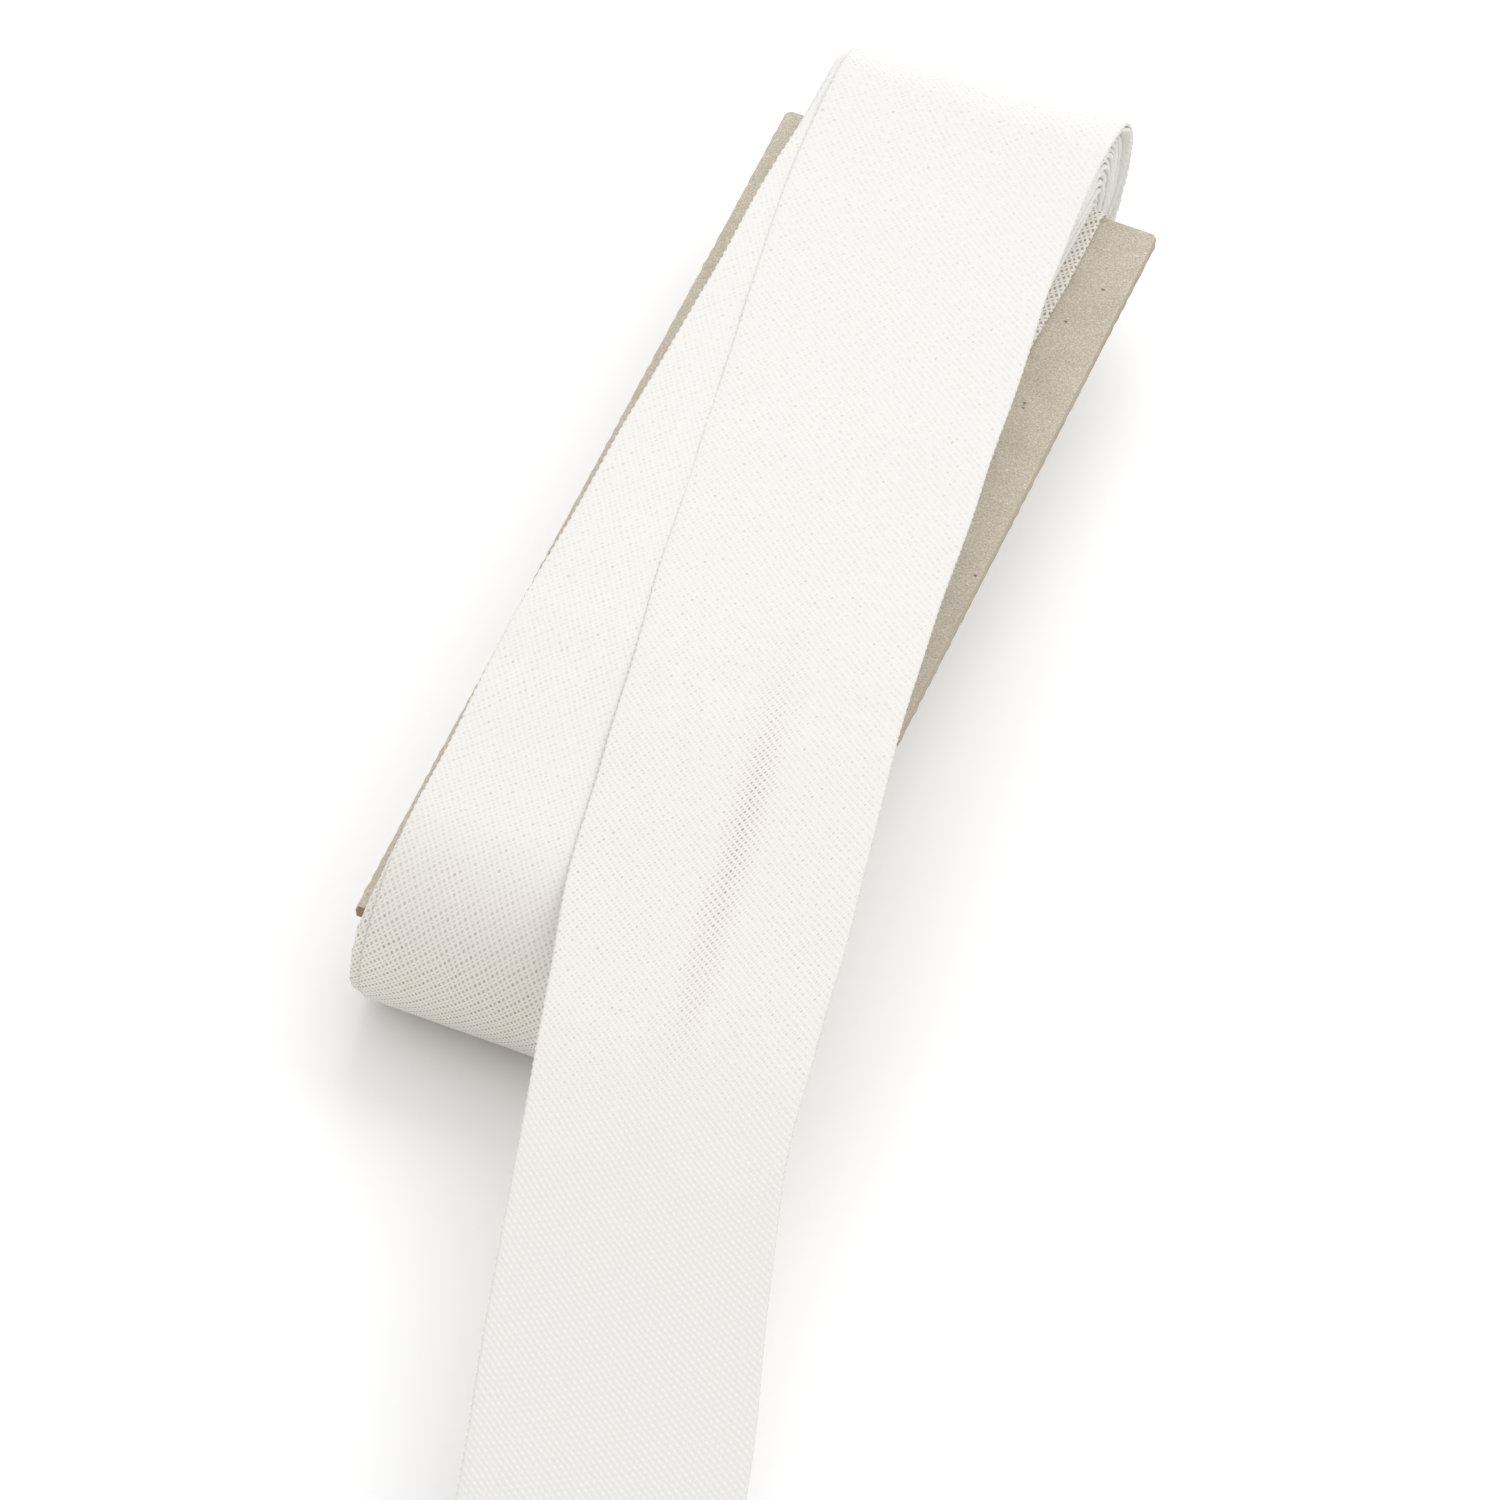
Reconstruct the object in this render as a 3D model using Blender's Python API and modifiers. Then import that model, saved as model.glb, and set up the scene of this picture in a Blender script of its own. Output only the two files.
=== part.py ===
"""Roll of bias tape: a folded cotton tape wound lengthwise round a chipboard card.

Units are metres, with +Z up. The roll lies on its flat underside at z = 0, and the origin is under
the middle of the card. +X runs across the tape, +Y along the card to its far end. The loose end
comes over the far bend, crosses the roll, leaves its near end and sinks to the surface towards -Y.
"""
import math

import bmesh
import bpy
import numpy as np
from mathutils import Matrix

# Card
CARD_WIDTH = 0.0355
CARD_LENGTH = 0.1135
CARD_THICKNESS = 0.0012
CARD_CORNER_RADIUS = 0.0006
CARD_CORNER_STEPS = 2

# Gap that is left between two pieces that touch
SEAT_GAP = 0.0003

# Wound tape: the middle of its bends, and how far it is turned and shifted on the card
PACK_HEIGHT = 0.0228
FAR_BEND_MIDDLE = 0.0523
NEAR_BEND_MIDDLE = -0.0505
PACK_TURN = math.radians(-0.84)
PACK_SHIFT = -0.0019
BEND_STEPS = 20
STRAIGHT_STEPS = 12

# The top sinks a little to the near bend: from where, at what slope, and over what easing length
DROOP_FROM = -0.0180
DROOP_SLOPE = 0.062
DROOP_EASING = 0.0120

# One row for each section across the wound tape, from its left-hand edge to its right-hand one:
# across is the place along X, far and near are the reach of the bends past their middles, and
# inset is how much lower the section stands below the top and above the underside.
PACK_SECTIONS = (
    {"across": -0.0134, "far": 0.0090, "near": 0.0106, "inset": 0.0013},
    {"across": -0.0127, "far": 0.0098, "near": 0.0113, "inset": 0.0004},
    {"across": -0.0125, "far": 0.0101, "near": 0.0115, "inset": 0.0},
    {"across": -0.0090, "far": 0.0102, "near": 0.0116, "inset": 0.0},
    {"across": -0.0045, "far": 0.0102, "near": 0.0115, "inset": 0.0},
    {"across": 0.0000, "far": 0.0102, "near": 0.0114, "inset": 0.0},
    {"across": 0.0045, "far": 0.0102, "near": 0.0114, "inset": 0.0},
    {"across": 0.0090, "far": 0.0102, "near": 0.0115, "inset": 0.0},
    {"across": 0.0125, "far": 0.0101, "near": 0.0114, "inset": 0.0},
    {"across": 0.0129, "far": 0.0096, "near": 0.0109, "inset": 0.0006},
)

# Uneven far bend: how far it stands out from its plain reach at each place across
FAR_WAVES = (
    {"across": -0.0140, "out": -0.0009},
    {"across": -0.0090, "out": -0.0016},
    {"across": -0.0040, "out": -0.0003},
    {"across": 0.0040, "out": 0.0002},
    {"across": 0.0100, "out": 0.0005},
    {"across": 0.0140, "out": 0.0005},
)

# Loose end: a sheet that starts low on the far bend
SHEET_THICKNESS = 0.0010
SHEET_START_ANGLE = math.radians(-50.0)
SHEET_FAR_REACH = 0.0110
SHEET_START_ACROSS = -0.0007
SHEET_LEVEL_FROM = 0.0025
SHEET_LENGTH = 0.267
SHEET_STEP = 0.0015
SHEET_ACROSS_STEPS = 10

# One row for each place along the loose end, measured from the top of the far bend:
# turn is its direction in degrees away from -Y towards +X, and width is its width there.
SHEET_ROUTE = (
    {"along": 0.000, "turn": 5.4, "width": 0.0252},
    {"along": 0.050, "turn": 6.3, "width": 0.0246},
    {"along": 0.080, "turn": 7.8, "width": 0.0240},
    {"along": 0.105, "turn": 9.1, "width": 0.0239},
    {"along": 0.130, "turn": 11.5, "width": 0.0229},
    {"along": 0.150, "turn": 14.4, "width": 0.0234},
    {"along": 0.172, "turn": 13.2, "width": 0.0239},
    {"along": 0.220, "turn": 12.0, "width": 0.0240},
)

# How steeply the loose end sinks, in degrees below level, before its fall is fitted to the roll's
# height. It hovers past the roll, and its last few millimetres lie flat on the surface.
SHEET_DIPS = (
    {"along": 0.070, "dip": 0.0},
    {"along": 0.090, "dip": 3.2},
    {"along": 0.105, "dip": 4.3},
    {"along": 0.118, "dip": 5.0},
    {"along": 0.130, "dip": 6.0},
    {"along": 0.150, "dip": 7.2},
    {"along": 0.170, "dip": 7.6},
    {"along": 0.190, "dip": 9.5},
    {"along": 0.205, "dip": 12.0},
    {"along": 0.225, "dip": 10.5},
    {"along": 0.240, "dip": 4.5},
    {"along": 0.252, "dip": 0.0},
    {"along": 0.270, "dip": 0.0},
)

# Finishes
COTTON_COLOUR = (0.90, 0.885, 0.85, 1.0)
COTTON_ROUGHNESS = 0.92
CHIPBOARD_COLOUR = (0.50, 0.455, 0.375, 1.0)
CHIPBOARD_ROUGHNESS = 0.88


def clear_scene():
    """Remove every object, so that the file holds only this model."""
    for item in list(bpy.data.objects):
        bpy.data.objects.remove(item, do_unlink=True)


def new_collection(name):
    collection = bpy.data.collections.new(name)
    bpy.context.scene.collection.children.link(collection)
    return collection


def new_material(name, colour, roughness):
    material = bpy.data.materials.new(name)
    material.use_nodes = True
    shader = material.node_tree.nodes["Principled BSDF"]
    shader.inputs["Base Color"].default_value = colour
    shader.inputs["Roughness"].default_value = roughness
    shader.inputs["Metallic"].default_value = 0.0
    material.diffuse_color = colour
    return material


def new_object(name, bm, collection, material=None):
    """Turn a bmesh into a named object in a collection."""
    bmesh.ops.recalc_face_normals(bm, faces=bm.faces)
    mesh = bpy.data.meshes.new(name)
    bm.to_mesh(mesh)
    bm.free()
    if material:
        mesh.materials.append(material)
    item = bpy.data.objects.new(name, mesh)
    collection.objects.link(item)
    return item


def column(rows, key):
    return np.array([row[key] for row in rows])


def smooth_value(rows, place_key, value_key, places):
    """Value of a table between its rows: a cubic through each row with the table's own slope."""
    knots = column(rows, place_key)
    values = column(rows, value_key)
    slopes = np.gradient(values, knots)
    places = np.clip(places, knots[0], knots[-1])
    row = np.clip(np.searchsorted(knots, places, side="right") - 1, 0, len(knots) - 2)
    span = knots[row + 1] - knots[row]
    t = (places - knots[row]) / span
    start = values[row] * (2 * t**3 - 3 * t**2 + 1) + slopes[row] * span * (t**3 - 2 * t**2 + t)
    end = values[row + 1] * (3 * t**2 - 2 * t**3) + slopes[row + 1] * span * (t**3 - t**2)
    return start + end


def far_wave(across):
    """How far the far bend stands out at a place across the roll."""
    return smooth_value(FAR_WAVES, "across", "out", across)


def box(size, middle):
    """A box as a bmesh, from its three sides and its middle."""
    bm = bmesh.new()
    place = Matrix.Translation(middle) @ Matrix.Diagonal((*size, 1.0))
    bmesh.ops.create_cube(bm, size=1.0, matrix=place)
    return bm


def core_card(collection, material):
    """The flat chipboard card, with slightly rounded corners."""
    bm = box((CARD_WIDTH, CARD_LENGTH, CARD_THICKNESS), (0.0, 0.0, PACK_HEIGHT / 2))
    upright = [edge for edge in bm.edges if abs(edge.verts[0].co.z - edge.verts[1].co.z) > SEAT_GAP]
    bmesh.ops.bevel(bm, geom=upright, offset=CARD_CORNER_RADIUS, segments=CARD_CORNER_STEPS,
                    profile=0.5, affect="EDGES")
    return new_object("core_card", bm, collection, material)


def far_place(across):
    """Place along X, at the far bend, of a place across the turned and shifted wound tape."""
    return PACK_SHIFT + across * math.cos(PACK_TURN) - FAR_BEND_MIDDLE * math.sin(PACK_TURN)


def far_middle(x):
    """Place along Y of the far bend's middle, which the turn of the wound tape sets askew."""
    return FAR_BEND_MIDDLE * math.cos(PACK_TURN) + (x - far_place(0.0)) * math.tan(PACK_TURN)


def top_droop(y):
    """How far the top has sunk at a place along the card: an eased start, then a straight slope."""
    past = max(DROOP_FROM - y, 0.0)
    if past < DROOP_EASING:
        return DROOP_SLOPE * past**2 / (2 * DROOP_EASING)
    return DROOP_SLOPE * (past - DROOP_EASING / 2)


def drooped(outline, middle, half):
    """The outline with its upper half lowered, by all of the droop at the top and none halfway."""
    droop = np.array([top_droop(y) for y in outline[:, 0]])
    height = np.clip((outline[:, 1] - middle) / half, 0.0, 1.0)
    return np.column_stack((outline[:, 0], outline[:, 1] - droop * height))


def pack_outline(section):
    """Closed outline of the wound tape at one place across: two half-round bends joined by
    straight runs, as points in the (y, z) plane."""
    half = PACK_HEIGHT / 2 - section["inset"]
    middle = PACK_HEIGHT / 2
    bend = np.linspace(-math.pi / 2, math.pi / 2, BEND_STEPS + 1)
    far_reach = section["far"] + float(far_wave(far_place(section["across"])))
    far = np.column_stack((FAR_BEND_MIDDLE + far_reach * np.cos(bend), middle + half * np.sin(bend)))
    near = np.column_stack((NEAR_BEND_MIDDLE - section["near"] * np.cos(bend),
                            middle - half * np.sin(bend)))
    run = np.linspace(0.0, 1.0, STRAIGHT_STEPS + 1)[1:-1, None]
    top = far[-1] + (near[0] - far[-1]) * run
    underside = near[-1] + (far[0] - near[-1]) * run
    return drooped(np.vstack((far, top, near, underside)), middle, half)


def lofted_pack():
    """Skin between the outlines at each place across, closed by a flat face at both edges."""
    bm = bmesh.new()
    rings = []
    for section in PACK_SECTIONS:
        ring = [bm.verts.new((section["across"], y, z)) for y, z in pack_outline(section)]
        rings.append(ring)
    for left, right in zip(rings, rings[1:]):
        for i in range(len(left)):
            j = (i + 1) % len(left)
            bm.faces.new((left[i], left[j], right[j], right[i]))
    bm.faces.new(rings[0])
    bm.faces.new(reversed(rings[-1]))
    return bm


def card_slot(cutters):
    """Cutter for the space that the card fills inside the wound tape."""
    clearance = 2 * SEAT_GAP
    size = (2 * CARD_WIDTH, CARD_LENGTH + clearance, CARD_THICKNESS + clearance)
    cutter = new_object("card_slot", box(size, (0.0, 0.0, PACK_HEIGHT / 2)), cutters)
    cutter.hide_render = True
    cutter.display_type = "WIRE"
    return cutter


def wound_tape(collection, cutters, material):
    """All the turns of the tape as one solid, turned a little on the card and slotted for it."""
    pack = new_object("wound_tape", lofted_pack(), collection, material)
    pack.location.x = PACK_SHIFT
    pack.rotation_euler.z = PACK_TURN
    slot = pack.modifiers.new("slot for the card", "BOOLEAN")
    slot.operation = "DIFFERENCE"
    slot.solver = "EXACT"
    slot.object = card_slot(cutters)
    return pack


def summed(steps):
    """Running total of a value over the steps of the loose end, from zero."""
    return np.concatenate(([0.0], np.cumsum((steps[1:] + steps[:-1]) / 2 * SHEET_STEP)))


def sheet_midline():
    """Middle line of the loose end from the top of the far bend to its cut end.

    The direction is summed step by step: its fall comes from the table of dips, scaled so that it
    ends on the surface, and its turn from the route table. Gives the distances, the points and
    the direction angles."""
    along = np.arange(0.0, SHEET_LENGTH + SHEET_STEP / 2, SHEET_STEP)
    high = PACK_HEIGHT + SEAT_GAP + SHEET_THICKNESS / 2
    low = SHEET_THICKNESS / 2
    dips = np.maximum(smooth_value(SHEET_DIPS, "along", "dip", along), 0.0)
    fall = summed(np.sin(np.radians(dips)))
    z = high - (high - low) * fall / fall[-1]
    level = np.sqrt(1.0 - np.gradient(z, along) ** 2)
    turn = np.radians(smooth_value(SHEET_ROUTE, "along", "turn", along))
    x = SHEET_START_ACROSS + summed(np.sin(turn) * level)
    y = FAR_BEND_MIDDLE - summed(np.cos(turn) * level)
    return along, np.column_stack((x, y, z)), turn


def sheet_run(side):
    """Points of the loose end past the bend, at places side (-1 to 1) across its width."""
    along, middle, turn = sheet_midline()
    past = along >= SHEET_LEVEL_FROM
    along, middle, turn = along[past], middle[past], turn[past]
    half_width = smooth_value(SHEET_ROUTE, "along", "width", along) / 2
    across = np.column_stack((np.cos(turn), np.sin(turn), np.zeros_like(turn)))
    return middle[:, None, :] + across[:, None, :] * half_width[:, None, None] * side[None, :, None]


def sheet_bend(first_row):
    """Points of the loose end round the far bend, from low behind it to its top.

    Each is on a half-ellipse round the bend's middle, its reach follows the uneven bend, and
    each column keeps the place across that it has in the first row of the run."""
    rise = PACK_HEIGHT / 2 + SEAT_GAP + SHEET_THICKNESS / 2
    arc = (math.pi / 2 - SHEET_START_ANGLE) * rise
    angle = np.linspace(SHEET_START_ANGLE, math.pi / 2, round(arc / SHEET_STEP) + 1)[:-1, None]
    reach = SHEET_FAR_REACH + far_wave(first_row[:, 0])[None, :]
    x = np.broadcast_to(first_row[None, :, 0], (len(angle), len(first_row)))
    y = far_middle(x) + reach * np.cos(angle)
    z = np.broadcast_to(PACK_HEIGHT / 2 + rise * np.sin(angle), x.shape)
    return np.stack((x, y, z), axis=-1)


def loose_end(collection, material):
    """The last half turn and the loose end as one sheet, cut straight across."""
    side = np.linspace(-1.0, 1.0, SHEET_ACROSS_STEPS + 1)
    run = sheet_run(side)
    points = np.concatenate((sheet_bend(run[0]), run))
    rows, columns = points.shape[:2]
    bm = bmesh.new()
    bmesh.ops.create_grid(bm, x_segments=columns - 1, y_segments=rows - 1, size=0.5)
    for vert in bm.verts:
        i = round((vert.co.y + 0.5) * (rows - 1))
        j = round((vert.co.x + 0.5) * (columns - 1))
        vert.co = points[i, j]
    sheet = new_object("loose_end", bm, collection, material)
    cloth = sheet.modifiers.new("cloth thickness", "SOLIDIFY")
    cloth.thickness = SHEET_THICKNESS
    cloth.offset = 0.0
    cloth.use_even_offset = True
    sheet.data.shade_smooth()
    return sheet


def build():
    clear_scene()
    roll = new_collection("bias_tape_roll")
    cutters = new_collection("cutters")
    cotton = new_material("cotton", COTTON_COLOUR, COTTON_ROUGHNESS)
    chipboard = new_material("chipboard", CHIPBOARD_COLOUR, CHIPBOARD_ROUGHNESS)
    core_card(roll, chipboard)
    wound_tape(roll, cutters, cotton)
    loose_end(roll, cotton)


build()
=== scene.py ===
"""Roll of bias tape: the looks of the wound tape, its loose end and its chipboard card.

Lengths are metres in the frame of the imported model: +Z up, the origin on the resting plane under the
middle of the card, +X across the tape and +Y along the card to its far end. The tape is one strip
with both raw edges folded under. Its path winds round the card and runs on as the loose end.
"""
import math

import bpy
import numpy as np
from bpy.props import FloatProperty, FloatVectorProperty, IntProperty, PointerProperty
from mathutils import Matrix, Vector


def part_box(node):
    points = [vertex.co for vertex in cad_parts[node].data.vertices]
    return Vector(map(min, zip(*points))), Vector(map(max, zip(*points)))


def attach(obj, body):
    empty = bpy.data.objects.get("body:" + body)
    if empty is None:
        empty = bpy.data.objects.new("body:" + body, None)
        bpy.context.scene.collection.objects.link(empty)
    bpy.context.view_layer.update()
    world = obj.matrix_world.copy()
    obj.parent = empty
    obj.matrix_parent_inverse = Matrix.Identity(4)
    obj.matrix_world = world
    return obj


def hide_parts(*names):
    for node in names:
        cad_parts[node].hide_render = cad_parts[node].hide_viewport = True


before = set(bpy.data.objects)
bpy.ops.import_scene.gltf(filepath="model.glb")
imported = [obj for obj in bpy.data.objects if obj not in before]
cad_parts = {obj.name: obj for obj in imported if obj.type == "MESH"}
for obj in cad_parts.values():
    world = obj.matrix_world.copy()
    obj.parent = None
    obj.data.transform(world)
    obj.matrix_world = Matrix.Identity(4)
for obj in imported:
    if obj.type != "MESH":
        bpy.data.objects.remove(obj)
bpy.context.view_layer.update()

bl_info = {
    "name": "Roll of Bias Tape",
    "version": (1, 0, 0),
    "blender": (4, 5, 0),
    "location": "View3D > Sidebar > Bias Tape",
    "description": "Folded cotton tape wound on a chipboard card, with its loose end laid out",
    "category": "Add Mesh",
}

MM = 0.001
BODY = "root"
CARD_LOW, CARD_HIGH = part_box("core_card")
ROLL_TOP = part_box("wound_tape")[1].z

# How the winding lies on the card: its small turn about Z, its shift along X, and the mid height
# that both have
ROLL_TURN = math.radians(-0.84)
ROLL_SHIFT = -1.9 * MM
ROLL_MIDDLE = (CARD_LOW.z + CARD_HIGH.z) / 2

# Top of the outermost turn: how far it lies inside its solid, where it starts to sink towards the
# near bend, the slope that it sinks by, and the length over which that slope sets in
TURN_INSET = 0.2 * MM
DROOP_FROM = -18 * MM
DROOP_SLOPE = 0.062
DROOP_EASING = 12 * MM

# Loose end: its length from the top of the far bend to the cut end, the height of its face where it
# lies on the surface, and how far it is pressed to the roll within its first stretch
LOOSE_LENGTH = 267 * MM
LOOSE_LOW = 0.72 * MM
LOOSE_PRESSED = 0.42 * MM
PRESSED_WITHIN = 14 * MM

# Bends of the innermost turn and of the outermost one: the middle of each bend, how far it reaches
# past that middle, and half the height of the turn
TURN_SHAPES = (
    {"far": 56.4 * MM, "far_reach": 1.1 * MM, "near": -56.4 * MM, "near_reach": 1.1 * MM,
     "half": 1.25 * MM},
    {"far": 52.3 * MM, "far_reach": 10.1 * MM, "near": -50.5 * MM, "near_reach": 11.3 * MM,
     "half": ROLL_TOP - ROLL_MIDDLE - TURN_INSET},
)

# The innermost turn's share of the way out is 0 and the outermost one's is 1. The steps between are
# drawn between these two sizes, and then scaled.
STEP_SIZES = (0.6, 1.4)
STEP_SEED = 8

# Uneven far bend: how far the outermost turn stands out at each place across
FAR_WAVES = (
    {"across": -14 * MM, "out": -0.9 * MM},
    {"across": -9 * MM, "out": -1.6 * MM},
    {"across": -4 * MM, "out": -0.3 * MM},
    {"across": 4 * MM, "out": 0.4 * MM},
    {"across": 9 * MM, "out": 1.4 * MM},
    {"across": 12 * MM, "out": 2.4 * MM},
    {"across": 14 * MM, "out": 2.8 * MM},
)

# How far the innermost turn stands out sideways, by the place along the winding in turns
FIRST_OFFSETS = (
    {"turns": 0.15, "across": 0.0 * MM},
    {"turns": 0.25, "across": 1.1 * MM},
    {"turns": 0.80, "across": 1.1 * MM},
    {"turns": 1.10, "across": 0.0 * MM},
)

# The same for the last turns, by the place before the end of the winding: a sliver at the near bend,
# a slight bulge of the outermost turn over the card's edge, and the last half turn set to the right
LAST_OFFSETS = (
    {"turns": -2.24, "across": 0.0 * MM},
    {"turns": -2.15, "across": -0.9 * MM},
    {"turns": -2.02, "across": -0.9 * MM},
    {"turns": -1.90, "across": 0.0 * MM},
    {"turns": -1.70, "across": 0.0 * MM},
    {"turns": -1.56, "across": 1.1 * MM},
    {"turns": -1.53, "across": 0.7 * MM},
    {"turns": -1.47, "across": 0.0 * MM},
    {"turns": -1.40, "across": -0.2 * MM},
    {"turns": -1.31, "across": -0.5 * MM},
    {"turns": -1.25, "across": -0.1 * MM},
    {"turns": -1.00, "across": 0.0 * MM},
    {"turns": -0.72, "across": 0.8 * MM},
    {"turns": -0.56, "across": 0.6 * MM},
    {"turns": -0.50, "across": 0.8 * MM},
)

# Loose end, from the top of the far bend: its direction away from -Y towards +X in degrees, its width,
# how far the gap between its flaps lies to the right of its middle, how much more open its weave is in a
# band over that gap, and how open it is all over. Open weave also shows more painted shade low in its
# cells.
LOOSE_ROUTE = (
    {"along": 0 * MM, "turn": 0.2, "width": 25.0 * MM, "aside": 0.0 * MM, "band": 0.0, "open": 0.00},
    {"along": 12 * MM, "turn": 3.9, "width": 25.2 * MM, "aside": 0.0 * MM, "band": 0.0, "open": 0.00},
    {"along": 25 * MM, "turn": 6.7, "width": 25.0 * MM, "aside": 0.1 * MM, "band": 0.0, "open": 0.02},
    {"along": 50 * MM, "turn": 6.0, "width": 24.6 * MM, "aside": 0.2 * MM, "band": 0.0, "open": 0.05},
    {"along": 80 * MM, "turn": 7.8, "width": 24.0 * MM, "aside": 1.1 * MM, "band": 0.25, "open": 0.12},
    {"along": 90 * MM, "turn": 8.3, "width": 24.1 * MM, "aside": 1.2 * MM, "band": 0.62, "open": 0.16},
    {"along": 105 * MM, "turn": 9.1, "width": 24.4 * MM, "aside": 1.0 * MM, "band": 0.50, "open": 0.20},
    {"along": 116 * MM, "turn": 10.0, "width": 23.5 * MM, "aside": 0.7 * MM, "band": 0.3, "open": 0.20},
    {"along": 130 * MM, "turn": 11.6, "width": 22.4 * MM, "aside": -0.8 * MM, "band": 0.0, "open": 0.22},
    {"along": 150 * MM, "turn": 14.4, "width": 23.3 * MM, "aside": -1.0 * MM, "band": 0.0, "open": 0.20},
    {"along": 172 * MM, "turn": 13.2, "width": 23.9 * MM, "aside": 0.0 * MM, "band": 0.0, "open": 0.20},
    {"along": 220 * MM, "turn": 12.0, "width": 24.0 * MM, "aside": 0.0 * MM, "band": 0.0, "open": 0.20},
)

# How steeply the loose end sinks, in degrees below level, before its fall is fitted to the roll's
# height. It hovers past the roll, and its last few millimetres lie flat on the surface.
LOOSE_DIPS = (
    {"along": 70 * MM, "dip": 0.0},
    {"along": 90 * MM, "dip": 3.2},
    {"along": 105 * MM, "dip": 4.3},
    {"along": 118 * MM, "dip": 5.0},
    {"along": 130 * MM, "dip": 6.0},
    {"along": 150 * MM, "dip": 7.2},
    {"along": 170 * MM, "dip": 7.6},
    {"along": 190 * MM, "dip": 9.5},
    {"along": 205 * MM, "dip": 12.0},
    {"along": 225 * MM, "dip": 10.5},
    {"along": 240 * MM, "dip": 4.5},
    {"along": 252 * MM, "dip": 0.0},
    {"along": 270 * MM, "dip": 0.0},
)

# Threads in each millimetre of the cloth, across and along, of the wide-set and the close-set
# threads. Curve is how the count bends with the square of the place across. The cloth is stretched
# on the bias by uneven amounts, so the counts change along the tape.
WOUND_WEAVE = {"wide_across": 1.76, "wide_curve": 0.0, "wide_along": -1.00,
               "close_across": 2.03, "close_curve": 0.0, "close_along": 1.45}
LOOSE_WEAVE = (
    {"along": 0 * MM, "wide_across": 1.35, "wide_curve": -0.006, "wide_along": -1.18,
     "close_across": 2.40, "close_curve": 0.022, "close_along": 1.65},
    {"along": 78 * MM, "wide_across": 1.30, "wide_curve": -0.006, "wide_along": -1.16,
     "close_across": 2.80, "close_curve": 0.022, "close_along": 1.65},
    {"along": 150 * MM, "wide_across": 1.33, "wide_curve": -0.006, "wide_along": -1.20,
     "close_across": 2.60, "close_curve": 0.015, "close_along": 1.65},
    {"along": 267 * MM, "wide_across": 1.33, "wide_curve": 0.0, "wide_along": -1.20,
     "close_across": 2.50, "close_curve": 0.0, "close_along": 1.65},
)
WEAVE_KEYS = tuple(WOUND_WEAVE)

# How open the weave of the winding is: on top, round the near bend and on the innermost turn. Open weave
# shows more painted shade low in its cells. Its threads are also crowded along the near bend. Both rise
# there from a place, over a stretch of the winding, in quarters of a turn.
OPEN_TOP = 0.10
OPEN_BEND = {"share": 0.70, "start": 2.85, "over": 0.9}
OPEN_INNERMOST = 0.9
CROWDED_BEND = {"share": 0.18, "start": 2.8, "over": 0.3}

# Where the loose end's cloth begins to be pulled into ridges and painted darker, as shade on its hovering
# part, and over what length
RIDGED_AND_SHADED_FROM = 106 * MM
RIDGED_AND_SHADED_OVER = 44 * MM

# Folds: how much of the room between two turns the strip fills, the smallest radius that pressing
# leaves, and the loose end's radius as a share of the free one, with the length that it needs for it
ROOM_SHARE = 0.98
TIGHTEST_FOLD = 0.05 * MM
LOOSE_FOLD_SHARE = 0.6
LOOSE_FOLD_OVER = 12 * MM

# Teeth that the wide-set and the close-set threads make along a fold
WIDE_TOOTH = 0.07 * MM
CLOSE_TOOTH = 0.03 * MM

# Widest place, in millimetres from the middle of the cloth, up to which a count of threads bends
CURVE_LIMIT = 13.0

# Half width of the band over the gap, as a share of the gap, and how sharply it ends
BAND_SHARE = 0.42
BAND_POWER = 4

# Small unevenness of the cloth and the board: its size, its wavelength and its seed. The winding's
# drift aside has its wavelength in turns.
RISE_OF_TURNS = {"size": 0.10 * MM, "wavelength": 40 * MM, "seed": 11}
DRIFT_OF_TURNS = {"size": 0.12 * MM, "wavelength": 1.7, "seed": 5}
DRIFT_OF_EDGES = {"size": 0.10 * MM, "wavelength": 14 * MM, "seed": 22}
RISE_OF_CLOTH = {"size": 0.04 * MM, "wavelength": 9 * MM, "seed": 23}
ROUGH_BOARD = {"size": 0.05 * MM, "wavelength": 2.2 * MM, "seed": 31}

# How far apart the fields above are read for two neighbouring turns, from the middle to an edge of
# the strip, and from the middle to a face of the board
TURN_SPACING = 6 * MM
EDGE_SPACING = 50 * MM
BOARD_SPACING = 2 * MM

# Threads: their width as a share of their spacing and how much of it varies along them, then their tone,
# and what is taken off or added by the dome of a thread and by lying over the other family, which are
# painted highlight and shade, by open weave, by open weave on the winding alone, and by ridges with their
# painted shade
WIDE_THREADS = {"seed": 1.0, "width": 0.54, "uneven": 0.14, "open_width": -0.08, "ridged_width": -0.04,
                "tone": 0.94, "dome": 0.02, "over": 0.03, "ridged_over": 0.035,
                "open_tone": -0.06, "winding_tone": 0.015, "ridged_and_shaded_tone": -0.05}
CLOSE_THREADS = {"seed": 9.0, "width": 0.60, "uneven": 0.18, "open_width": -0.04, "ridged_width": 0.0,
                 "tone": 0.93, "dome": 0.03, "over": 0.03, "ridged_over": 0.0,
                 "open_tone": -0.04, "winding_tone": 0.015, "ridged_and_shaded_tone": -0.19}

# Share of a thread's height that is its round top. The rest is its going over and under.
ROUND_SHARE = 0.7

# How far apart the noise of two neighbouring threads is read, and how fast it runs along a thread
THREAD_APART = 7.31
THREAD_RUN = 0.12

# Cells between four threads: their tone, and what is added by each cell's own number, by open weave, by
# fuzz and in a rare cell. A lower tone shows more of the painted shade low in the cell. Then the least
# tone, the tone between ridges, which is darker as painted shade on the hovering loose end, and its own
# share of the number, and how far a very open cell lets the ground through.
CELLS = {"tone": 0.97, "luck": -0.26, "open": -0.80, "fuzz": 0.10, "rare": -0.20, "least": 0.14,
         "ridged_and_shaded": 0.70, "ridged_luck": 0.06, "clear": 0.15}
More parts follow.
